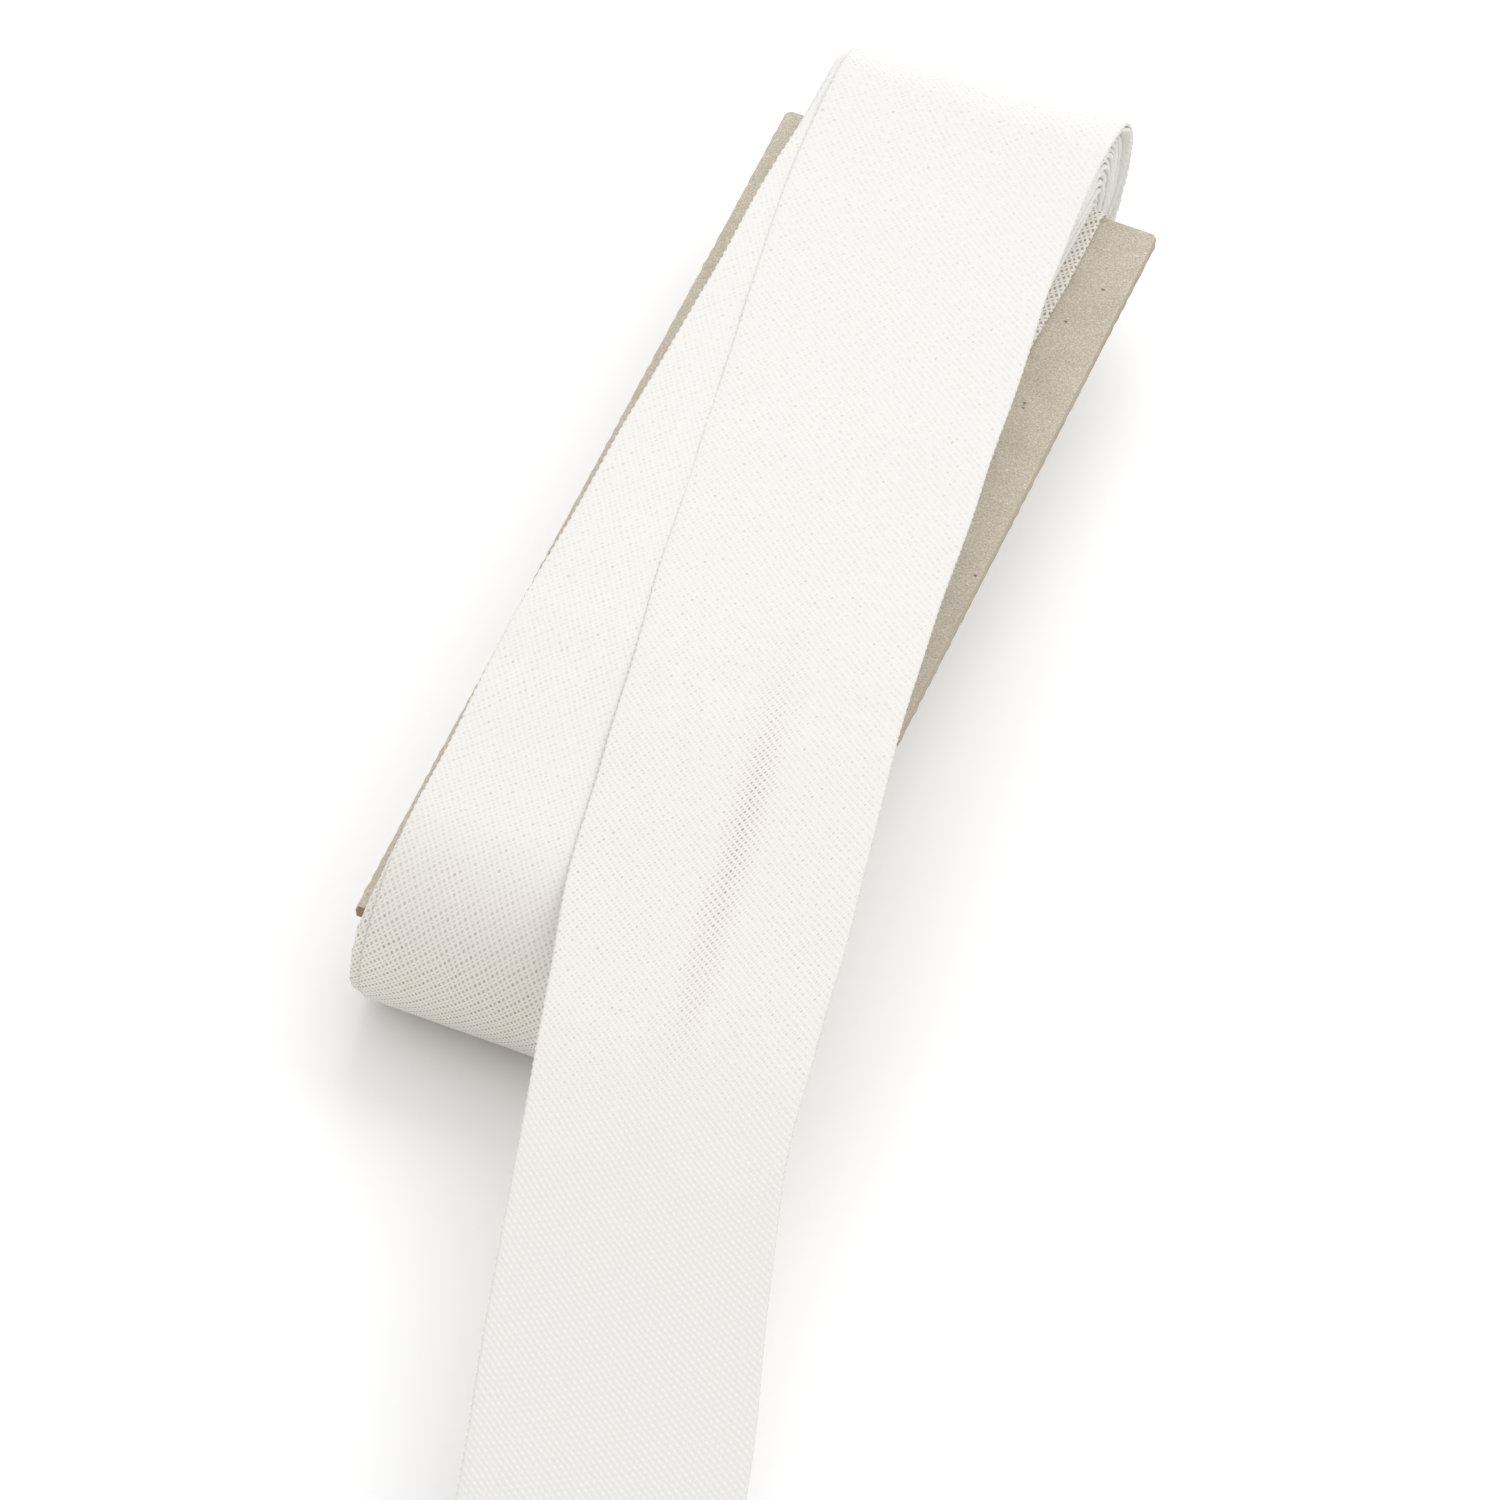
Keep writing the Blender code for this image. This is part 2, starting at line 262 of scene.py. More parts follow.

# Colours of open weave: the cotton's red, green and blue on the winding as shares of the plain ones, and
# how much of the deep painted shade comes with openness, and with openness on the winding alone
WORN_COTTON = (0.997, 0.974, 0.928)
DEEP_SHADE_OPEN = 0.5
DEEP_SHADE_UNBANDED = 0.35

# Where the strip is divided into pieces, in turns before its end: under the roll, and low on the
# far bend. The top of that bend is where the loose end leaves the winding.
OUTER_TURN_START = 1.875
LOOSE_START = 0.694
LOOSE_TOP = 0.5

# Where the winding begins, and where the top of its first turn ends. That top shows along the
# card's right side, so its rows are dense.
WINDING_START = 0.02
FIRST_TOP_END = 0.75

# Rows on each quarter of a turn: underneath, far bend, top and near bend. On the loose end a row
# lies at each step.
FIRST_ROWS = (10, 40, 260, 24)
INNER_ROWS = (8, 26, 10, 22)
OUTER_ROWS = (60, 90, 380, 120)
LAST_BEND_ROWS = (1, 110, 1, 1)
LOOSE_STEP = 0.25 * MM

# Spans across the strip: in a flap, in a fold and in half of the face
INNER_SPANS = (5, 8, 7)
OUTER_SPANS = (11, 12, 11)
LOOSE_SPANS = (3, 7, 11)

# Steps used only in the working: where the sum of the line's length starts and how far it goes past
# the last row, the steps for that length and for the line's direction, all in turns, the step for the
# loose end's line, and the differences that count as none
LENGTH_START = 0.001
LENGTH_PAST = 0.01
LENGTH_STEP = 0.0025
DIRECTION_STEP = 1e-4
LINE_STEP = 0.1 * MM
ROUNDING = 1e-9
HAIR = 1e-6

# Card: columns across the middle of a face, how far they reach and the extra ones near its edges, as
# shares of half its width, then the columns down a side, and the rows round a corner and all along
FACE_COLUMNS = 25
FACE_REACH = 0.94
EDGE_COLUMNS = (0.97, 0.988, 1.0)
SIDE_COLUMNS = 5
CORNER_ROWS = 12
CARD_ROWS = 300

# Ends of the card: how far back their rim begins, and the height of the section at the end itself, as
# a share. They are fully browned, and the right side is partly so.
END_RIM = 0.03 * MM
END_HEIGHT = 0.95
BROWNED_RIGHT = 0.45

# Camera: a long lens that looks down on the roll from its near side, a little aside. Its focal
# length is in pixels of the photograph's frame, and its sensor's width in millimetres.
CAMERA_DOWN = math.radians(43.48)
CAMERA_ASIDE = math.radians(11.65)
CAMERA_ROLL = math.radians(10.96)
CAMERA_DISTANCE = 1.768
CAMERA_TARGET = (3.928 * MM, -10.459 * MM, 0.0)
FRAME_PIXELS = 1500
FOCAL_PIXELS = 20192
SENSOR = 36.0

# Floor and lamp: half the floor's side and how far it lies under the resting plane, then the lamp's
# sides and its place
FLOOR_REACH = 3.0
FLOOR_DEPTH = 0.00001
LAMP_SIDES = (1.4, 1.0)
LAMP_PLACE = (0.10, 0.75, 1.05)


class TapeSettings(bpy.types.PropertyGroup):
    """Sizes, weave and colours of the tape."""

    width: FloatProperty(
        name="Folded width", description="Width of the tape with its edges folded under",
        default=25.0 * MM, unit="LENGTH", subtype="DISTANCE")
    gap: FloatProperty(
        name="Gap between flaps", description="Space between the two raw edges under the tape",
        default=2.8 * MM, unit="LENGTH", subtype="DISTANCE")
    fold: FloatProperty(
        name="Fold radius", description="Radius of the folded edges where nothing presses them",
        default=0.25 * MM, unit="LENGTH", subtype="DISTANCE")
    cloth: FloatProperty(
        name="Cloth thickness", description="Thickness of one layer of the cotton",
        default=0.12 * MM, unit="LENGTH", subtype="DISTANCE")
    turns: IntProperty(
        name="Turns", description="How many times the tape goes round the card", default=15, min=4)
    pairing: FloatProperty(
        name="Pairing", description="How far the close-set threads lean together two by two, in threads",
        default=0.15)
    cotton: FloatVectorProperty(
        name="Cotton", description="Colour of the top of the threads",
        default=(0.773, 0.760, 0.734, 1.0), size=4, subtype="COLOR", min=0.0, max=1.0)
    # Painted shade: the colour low between the threads stands in for the shade seen down between them
    hollow_shade: FloatVectorProperty(
        name="Between threads", description="Colour low between the threads",
        default=(0.48, 0.405, 0.34, 1.0), size=4, subtype="COLOR", min=0.0, max=1.0)
    # Painted shade: the darker shade seen through open weave
    deep_shade: FloatVectorProperty(
        name="In open weave", description="Colour low between the threads where the weave is open",
        default=(0.275, 0.205, 0.150, 1.0), size=4, subtype="COLOR", min=0.0, max=1.0)
    # Painted shade: the grey low between the threads on the hovering loose end
    tail_shade: FloatVectorProperty(
        name="Between ridges", description="The same colour where the cloth is pulled into ridges",
        default=(0.462, 0.449, 0.430, 1.0), size=4, subtype="COLOR", min=0.0, max=1.0)


class CardSettings(bpy.types.PropertyGroup):
    """Sizes and colours of the chipboard card."""

    corner: FloatProperty(
        name="Corner radius", description="Radius of the card's far corners, which are worn",
        default=0.7 * MM, unit="LENGTH", subtype="DISTANCE")
    near_corner: FloatProperty(
        name="Near corner radius", description="Radius of the card's near corners, which are sharper",
        default=0.12 * MM, unit="LENGTH", subtype="DISTANCE")
    rim: FloatProperty(
        name="Rim radius", description="Worn rounding between a face and the sides",
        default=0.07 * MM, unit="LENGTH", subtype="DISTANCE")
    board: FloatVectorProperty(
        name="Board", description="Main colour of the faces",
        default=(0.565, 0.514, 0.424, 1.0), size=4, subtype="COLOR", min=0.0, max=1.0)
    pale: FloatVectorProperty(
        name="Pale fibres", description="Colour of the pale fibres",
        default=(0.79, 0.75, 0.66, 1.0), size=4, subtype="COLOR", min=0.0, max=1.0)
    dark: FloatVectorProperty(
        name="Dark fibres", description="Colour of the dark fibres and the lines between the plies",
        default=(0.22, 0.18, 0.135, 1.0), size=4, subtype="COLOR", min=0.0, max=1.0)
    fleck: FloatVectorProperty(
        name="Flecks", description="Colour of the brown flecks",
        default=(0.17, 0.09, 0.05, 1.0), size=4, subtype="COLOR", min=0.0, max=1.0)
    side: FloatVectorProperty(
        name="Cut side", description="Colour of the cut sides",
        default=(0.52, 0.45, 0.35, 1.0), size=4, subtype="COLOR", min=0.0, max=1.0)
    brown: FloatVectorProperty(
        name="Browned side", description="Colour of the cut sides that have aged",
        default=(0.25, 0.18, 0.125, 1.0), size=4, subtype="COLOR", min=0.0, max=1.0)


class StageSettings(bpy.types.PropertyGroup):
    """Floor and light."""

    floor: FloatVectorProperty(
        name="Floor", description="Colour of the floor",
        default=(0.95, 0.95, 0.945, 1.0), size=4, subtype="COLOR", min=0.0, max=1.0)
    sky: FloatProperty(
        name="Even light", description="Strength of the even light from all sides", default=1.0)
    lamp: FloatProperty(
        name="Lamp", description="Power of the soft lamp", default=6.9, unit="POWER")


def column(rows, key):
    """One column of a table."""
    return np.array([row[key] for row in rows])


def smooth_value(rows, place_key, value_key, places):
    """Value of a table between its rows: a cubic through each row with the table's own slope."""
    knots = column(rows, place_key)
    values = column(rows, value_key)
    slopes = np.gradient(values, knots)
    places = np.clip(places, knots[0], knots[-1])
    row = np.clip(np.searchsorted(knots, places, side="right") - 1, 0, len(knots) - 2)
    span = knots[row + 1] - knots[row]
    t = (places - knots[row]) / span
    start = values[row] * (2 * t**3 - 3 * t**2 + 1) + slopes[row] * span * (t**3 - 2 * t**2 + t)
    end = values[row + 1] * (3 * t**2 - 2 * t**3) + slopes[row + 1] * span * (t**3 - t**2)
    return start + end


def eased(t):
    """Rise from 0 to 1 with no kink at either end: t cubed times the sum of ten, less fifteen t,
    and six t squared."""
    t = np.clip(t, 0.0, 1.0)
    return t**3 * (t * (6 * t - 15) + 10)


def ripple(a, b, wavelength, seed, waves=6):
    """Uneven smooth field over two coordinates, about -1 to 1: a sum of sine waves, each 0.7 to 1.5
    times as long as the given wavelength, in its own seeded direction and with its own start."""
    draw = np.random.default_rng(seed)
    total = 0.0
    for _ in range(waves):
        turn = draw.uniform(0, math.pi)
        pitch = wavelength * draw.uniform(0.7, 1.5)
        start = draw.uniform(0, 2 * math.pi)
        total = total + np.sin(2 * math.pi * (a * math.cos(turn) + b * math.sin(turn)) / pitch + start)
    return total / math.sqrt(2 * waves)


def unevenness(kind, a, b):
    """One of the named kinds of unevenness at two coordinates."""
    return kind["size"] * ripple(a, b, kind["wavelength"], kind["seed"])


def turn_value(key, share):
    """A measure of one turn, by its share of the way from the innermost turn to the outermost."""
    inner, outer = TURN_SHAPES
    return inner[key] + (outer[key] - inner[key]) * share


def turn_shares(count):
    """Share of the way out that each turn has reached underneath: uneven steps that add up to 1."""
    steps = np.random.default_rng(STEP_SEED).uniform(*STEP_SIZES, count - 1)
    return np.concatenate(([0.0], np.cumsum(steps) / steps.sum()))


def top_droop(y):
    """How far the outermost turn's top has sunk at a place along the card: an eased start, then a
    straight slope."""
    past = np.maximum(DROOP_FROM - y, 0.0)
    slope = np.where(past < DROOP_EASING, past**2 / (2 * DROOP_EASING), past - DROOP_EASING / 2)
    return DROOP_SLOPE * slope


def wound_line(turns, count):
    """Middle of the tape's face in the roll's own (y, z) plane, at places along the winding, and
    how far each place takes the far bend's waves.

    Each turn has four quarters: straight underneath, half an ellipse round the far bend, straight
    over the top, and half an ellipse round the near bend. It grows on both bends, so that the last
    turn but one ends the winding on top, and the last one lies over it as the loose end. The top
    droops to the near bend, the more so the further out the turn is."""
    shares = turn_shares(count)
    turn = np.clip(np.floor(turns + ROUNDING).astype(int), 0, count - 1)
    quarter = 4 * (turns - turn)
    under = shares[turn]
    over = under / shares[-2]
    next_under = shares[np.minimum(turn + 1, count - 1)]
    legs = [quarter < 1, quarter < 2, quarter < 3]
    share = np.select(legs, [under, under + (over - under) * eased(quarter - 1), over],
                      over + (next_under - over) * eased(quarter - 3))
    half = turn_value("half", share)
    far, near = turn_value("far", share), turn_value("near", share)
    far_reach, near_reach = turn_value("far_reach", share), turn_value("near_reach", share)
    bend = math.pi * (quarter % 1)
    y = np.select(legs, [near + (far - near) * quarter, far + far_reach * np.sin(bend),
                         far + (near - far) * (quarter - 2)], near - near_reach * np.sin(bend))
    z = np.select(legs, [-half, -half * np.cos(bend), half], half * np.cos(bend))
    z = z - top_droop(y) * share * np.clip(z / half, 0.0, 1.0)
    between_bends = np.where(quarter % 2 < 1, np.sin(bend) ** 2, 0.0)
    uneven = unevenness(RISE_OF_TURNS, y, turn * TURN_SPACING) * between_bends
    wave = np.where((quarter >= 1) & (quarter < 2), np.sin(bend) * share, 0.0)
    return y, ROLL_MIDDLE + z + uneven * np.sign(z), wave


def wound_frame(turns, count):
    """Place along the winding, its outward direction in the roll's own (y, z) plane, which is
    square to the line from just behind to just ahead, and its share of the far bend's waves."""
    y, z, wave = wound_line(turns, count)
    ahead_y, ahead_z, _ = wound_line(turns + DIRECTION_STEP, count)
    behind_y, behind_z, _ = wound_line(turns - DIRECTION_STEP, count)
    run = np.hypot(ahead_y - behind_y, ahead_z - behind_z)
    return y, z, (ahead_z - behind_z) / run, (behind_y - ahead_y) / run, wave


def pressed_fold(tape, turns):
    """Fold radius that just fits between one turn and the turn inside it."""
    turns = np.where(turns < 1, turns + 1, turns)
    y, z, out_y, out_z, _ = wound_frame(turns, tape.turns)
    inner_y, inner_z, _ = wound_line(turns - 1, tape.turns)
    room = (y - inner_y) * out_y + (z - inner_z) * out_z
    return np.clip((ROOM_SHARE * room - tape.cloth) / 2, TIGHTEST_FOLD, tape.fold)


def wound_rows(tape, turns):
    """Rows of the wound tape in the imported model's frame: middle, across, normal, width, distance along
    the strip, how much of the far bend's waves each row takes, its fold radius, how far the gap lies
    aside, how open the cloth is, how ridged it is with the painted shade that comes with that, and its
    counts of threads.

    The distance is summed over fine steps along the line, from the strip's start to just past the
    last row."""
    fine = np.arange(LENGTH_START, turns.max() + LENGTH_PAST, LENGTH_STEP)
    fine_y, fine_z, _ = wound_line(fine, tape.turns)
    lengths = np.concatenate(([0.0], np.cumsum(np.hypot(np.diff(fine_y), np.diff(fine_z)))))
    y, z, out_y, out_z, wave = wound_frame(turns, tape.turns)
    first, last = column(FIRST_OFFSETS, "turns"), column(LAST_OFFSETS, "turns") + tape.turns
    x = np.interp(turns, first, column(FIRST_OFFSETS, "across"))
    x = x + np.interp(turns, last, column(LAST_OFFSETS, "across"))
    x = x + unevenness(DRIFT_OF_TURNS, turns, 0.0)
    cos, sin = math.cos(ROLL_TURN), math.sin(ROLL_TURN)
    count = len(turns)
    rows = {"middle": np.column_stack((ROLL_SHIFT + x * cos - y * sin, x * sin + y * cos, z)),
            "across": np.tile((cos, sin, 0.0), (count, 1)),
            "normal": np.column_stack((-out_y * sin, out_y * cos, out_z)),
            "width": np.full(count, tape.width), "along": np.interp(turns, fine, lengths),
            "wave": wave, "fold": pressed_fold(tape, turns), "aside": np.zeros(count),
            "band": np.zeros(count), "ridged_and_shaded": np.zeros(count)}
    quarter = (4 * turns) % 4
    bend_open, bend_crowded = (
        bend["share"] * eased((quarter - bend["start"]) / bend["over"])
        for bend in (OPEN_BEND, CROWDED_BEND))
    rows["open"] = OPEN_TOP * eased(quarter - 2) + bend_open + OPEN_INNERMOST * (turns < 1)
    for key in WEAVE_KEYS:
        rows[key] = WOUND_WEAVE[key] * (1 + bend_crowded * key.endswith("along"))
    return rows


def loose_rows(tape, places, first):
    """Rows of the loose end past the far bend, from the row at the top of that bend.

    Its fall comes from the table of dips, scaled so that it ends on the floor, and its direction
    from the route table. Both are summed along it, so that its length stays true."""
    fine = np.arange(0.0, LOOSE_LENGTH + LINE_STEP, LINE_STEP)

    def summed(steps):
        """Running total of a value over the fine steps, from zero."""
        return np.concatenate(([0.0], np.cumsum((steps[1:] + steps[:-1]) / 2 * LINE_STEP)))

    high = first["middle"][-1, 2]
    dips = np.maximum(smooth_value(LOOSE_DIPS, "along", "dip", fine), 0.0)
    fall = summed(np.sin(np.radians(dips)))
    fallen = fall / fall[-1]
    pressed = LOOSE_PRESSED * eased(fine / PRESSED_WITHIN)
    z = high - (high - LOOSE_LOW) * fallen - pressed * (1 - fallen)
    level = np.sqrt(1.0 - np.gradient(z, fine) ** 2)
    turn = np.radians(smooth_value(LOOSE_ROUTE, "along", "turn", fine))
    x = first["middle"][-1, 0] + summed(np.sin(turn) * level)
    y = first["middle"][-1, 1] - summed(np.cos(turn) * level)
    line = np.column_stack((x, y, z))
    ahead = np.gradient(line, LINE_STEP, axis=0)
    side = np.column_stack((np.cos(turn), np.sin(turn), np.zeros_like(turn)))
    out = np.cross(ahead, side)
    picked = [np.column_stack([np.interp(places, fine, part[:, i]) for i in range(3)])
              for part in (line, side, out)]
    pressed_fold_radius = first["fold"][-1]
    released = (LOOSE_FOLD_SHARE * tape.fold - pressed_fold_radius) * eased(places / LOOSE_FOLD_OVER)
    rows = {"middle": picked[0], "across": picked[1], "normal": picked[2],
            "width": smooth_value(LOOSE_ROUTE, "along", "width", places),
            "along": first["along"][-1] + places, "wave": np.zeros(len(places)),
            "fold": pressed_fold_radius + released,
            "aside": smooth_value(LOOSE_ROUTE, "along", "aside", places),
            "band": np.clip(smooth_value(LOOSE_ROUTE, "along", "band", places), 0, 1),
            "open": np.clip(smooth_value(LOOSE_ROUTE, "along", "open", places), 0, 1),
            # On its hovering part the cloth is ridged and painted darker, as shade
            "ridged_and_shaded": eased((places - RIDGED_AND_SHADED_FROM) / RIDGED_AND_SHADED_OVER)}
    for key in WEAVE_KEYS:
        rows[key] = smooth_value(LOOSE_WEAVE, "along", key, places)
    return rows


def tape_section(tape, spans):
    """Section of the folded tape from one raw edge to the other: flap, round fold, face, round
    fold and flap, as columns of weights, with a number of spans in a flap, in a fold and in half
    of the face.

    The place across is a share of the half width, plus a share of half the gap, plus a share of the
    fold radius. The height over the face is a share of the fold radius. The distance in the cloth is
    walked along the section that nothing presses."""
    flap, fold, face = spans
    share = np.linspace(0, 1, flap + 1)[:-1]
    bend = np.linspace(-math.pi / 2, math.pi / 2, fold + 1)
    side = np.concatenate((share, np.ones(fold + 1), np.linspace(1, 0, face + 1)[1:]))
    inner = np.concatenate((1 - share, np.zeros(fold + 1 + face)))
    round_part = np.concatenate((np.zeros(flap), np.cos(bend), np.zeros(face)))
    low = np.concatenate((np.full(flap, -2.0), np.sin(bend) - 1, np.zeros(face)))
    side, inner, round_part = (np.concatenate((-part, part[-2::-1]))
                               for part in (side, inner, round_part))
    low = np.concatenate((low, low[-2::-1]))
    x = side * (tape.width / 2 - tape.fold) + inner * tape.gap / 2 + round_part * tape.fold
    walked = np.concatenate(([0.0], np.cumsum(np.hypot(np.diff(x), np.diff(low * tape.fold)))))
    return {"side": side, "inner": inner, "round": round_part, "low": low,
            "walked": walked - walked[-1] / 2}


def strip_points(tape, rows, spans):
    """Surface of the strip: each row's middle, plus its section along the across direction and the
    normal, plus the far bend's waves, small unevenness, and teeth where threads turn at the folds.

    Each family of threads is counted by its threads across times the distance across the cloth,
    plus its curve times the square of that distance, plus the sum of its threads along. A tooth is
    a cosine of that count. The band over the gap falls off by e to the minus fourth power of the
    distance from its middle.

    Gives the points, the UV maps, and the values of how open the weave is, how ridged the cloth is with
    the painted shade that comes with that, and how open it is without the band."""
    section = tape_section(tape, spans)
    side, inner, round_part, low, walked = (
        section[key][None, :] for key in ("side", "inner", "round", "low", "walked"))
    fold = rows["fold"][:, None]
    along = rows["along"][:, None]
    x = side * (rows["width"][:, None] / 2 - fold) + inner * tape.gap / 2 + round_part * fold
    x = x + np.abs(inner) * rows["aside"][:, None]
    counts = []
    squared = np.clip(walked / MM, -CURVE_LIMIT, CURVE_LIMIT) ** 2
    for family in ("wide", "close"):
        each_row = np.concatenate(([0.0], np.diff(rows["along"]) * rows[family + "_along"][1:]))
        count = (rows[family + "_across"][:, None] * walked + np.cumsum(each_row)[:, None]) / MM
        counts.append(count + rows[family + "_curve"][:, None] * squared)
    wide, close = (np.cos(2 * math.pi * count) for count in counts)
    tooth = WIDE_TOOTH * wide + CLOSE_TOOTH * close
    drift = unevenness(DRIFT_OF_EDGES, along, np.sign(side) * EDGE_SPACING)
    x = x + (tooth * np.abs(round_part) + drift * np.abs(side)) * np.sign(side)
    raised = low * fold + unevenness(RISE_OF_CLOTH, along, x)
    points = (rows["middle"][:, None, :] + rows["across"][:, None, :] * x[:, :, None]
              + rows["normal"][:, None, :] * raised[:, :, None])
    reach = smooth_value(FAR_WAVES, "across", "out", points[:, :, 0])
    points[:, :, 1] += reach * rows["wave"][:, None]
    cloth = np.stack(np.broadcast_arrays(walked, along), axis=-1)
    over_gap = (x - rows["aside"][:, None]) / (BAND_SHARE * tape.gap)
    band = np.exp(-(over_gap**BAND_POWER)) * (low > -1)
    opened = np.clip(rows["open"][:, None] + rows["band"][:, None] * band, 0, 1)
    ridged_and_shaded, open_unbanded = (np.broadcast_to(rows[key][:, None], opened.shape) for key in ("ridged_and_shaded", "open"))
    maps = {"cloth": cloth, "weave": np.stack(counts, axis=-1)}
    return points, maps, {"open": opened, "ridged_and_shaded": ridged_and_shaded, "open_unbanded": open_unbanded}


def joined_rows(*parts):
    """Rows of several stretches as one."""
    return {key: np.concatenate([part[key] for part in parts]) for key in parts[0]}


def grid_object(name, points, material, maps=None, values=None):
    """A grid of points as a mesh whose faces look along rows times columns, with its UV maps and
    its values at the points."""
    rows, columns = points.shape[:2]
    corner = np.arange(rows * columns).reshape(rows, columns)
    quads = np.stack((corner[:-1, :-1], corner[1:, :-1], corner[1:, 1:], corner[:-1, 1:]), axis=-1)
    quads = quads.reshape(-1, 4)
    mesh = bpy.data.meshes.new(name)
    mesh.from_pydata(points.reshape(-1, 3).tolist(), [], quads.tolist())
    mesh.polygons.foreach_set("use_smooth", np.ones(len(quads), bool))
    for key, place in (maps or {}).items():
        layer = mesh.uv_layers.new(name=key)
        layer.data.foreach_set("uv", place.reshape(-1, 2)[quads.ravel()].ravel())
    for key, value in (values or {}).items():
        layer = mesh.attributes.new(key, "FLOAT", "POINT")
        layer.data.foreach_set("value", value.astype(np.float32).ravel())
    mesh.materials.append(material)
    mesh.update()
    item = bpy.data.objects.new(name, mesh)
    bpy.context.scene.collection.objects.link(item)
    return item


def give_thickness(item, thickness):
    """Solidify a surface evenly to both sides."""
    cloth = item.modifiers.new("cloth thickness", "SOLIDIFY")
    cloth.thickness = thickness
    cloth.offset = 0.0


class Flow:
    """A shader socket for use in sums: an operator between it and a number or another socket adds
    a Math node. node() adds any other kind of node, and output() reads another of its outputs."""

    def __init__(self, tree, socket=None):
        self.tree = tree
        self.socket = socket

    def node(self, kind, settings=None, inputs=None, output=0):
        """Add a node, set its settings, then fill or link its inputs, and give one output."""
        made = self.tree.nodes.new(kind)
        for name, value in (settings or {}).items():
            setattr(made, name, value)
        for key, value in (inputs or {}).items():
            if isinstance(value, Flow):
                self.tree.links.new(value.socket, made.inputs[key])
            else:
                made.inputs[key].default_value = value
        return Flow(self.tree, made.outputs[output])

    def output(self, index):
        """Another output of the same node."""
        return Flow(self.tree, self.socket.node.outputs[index])

    def math(self, operation, *values):
        """Add a Math node on some values."""
        return self.node("ShaderNodeMath", {"operation": operation}, dict(enumerate(values)))

    def __add__(self, other):
        return self.math("ADD", self, other)

    def __radd__(self, other):
        return self.math("ADD", other, self)

    def __sub__(self, other):
        return self.math("SUBTRACT", self, other)

    def __rsub__(self, other):
        return self.math("SUBTRACT", other, self)

    def __mul__(self, other):
        return self.math("MULTIPLY", self, other)

    def __rmul__(self, other):
        return self.math("MULTIPLY", other, self)

    def __truediv__(self, other):
        return self.math("DIVIDE", self, other)

    def __rtruediv__(self, other):
        return self.math("DIVIDE", other, self)


def between(value, low, high):
    """Smooth step from 0 at low to 1 at high."""
    return value.node("ShaderNodeMapRange", {"interpolation_type": "SMOOTHSTEP"},
                      {"Value": value, "From Min": low, "From Max": high})


def larger(first, second):
    """The larger of two values."""
    return first.math("MAXIMUM", first, second)


def colour_mix(share, first, second):
    """Blend of two colours by a share."""
    return share.node("ShaderNodeMix", {"data_type": "RGBA"}, {0: share, 6: first, 7: second}, output=2)


def scaled(colour, share):
    """A colour times one share, or times a share for each of its three channels."""
    return (*(np.array(colour[:3]) * share), 1.0)


def attribute(start, name):
    """A value that the mesh holds at its points."""
    return start.node("ShaderNodeAttribute", {"attribute_name": name}, output=2)


def noise(at, scale, detail=2.0, roughness=0.5, output=0):
    """Noise texture at a place, from 0 to 1: as a value, or as a colour with output 1."""
    return at.node("ShaderNodeTexNoise", {"noise_dimensions": "3D"},
                   {"Vector": at, "Scale": scale, "Detail": detail, "Roughness": roughness}, output)


def new_material(name):
    """A node material, the start of its flows, and its Principled shader."""
    material = bpy.data.materials.new(name)
    material.use_nodes = True
    return material, Flow(material.node_tree), material.node_tree.nodes["Principled BSDF"]


def feed(shader, **values):
    """Link flows to the Principled shader's sockets, or set plain values on them."""
    for name, value in values.items():
        socket = shader.inputs[name.replace("_", " ")]
        if isinstance(value, Flow):
            value.tree.links.new(value.socket, socket)
        else:
            socket.default_value = value


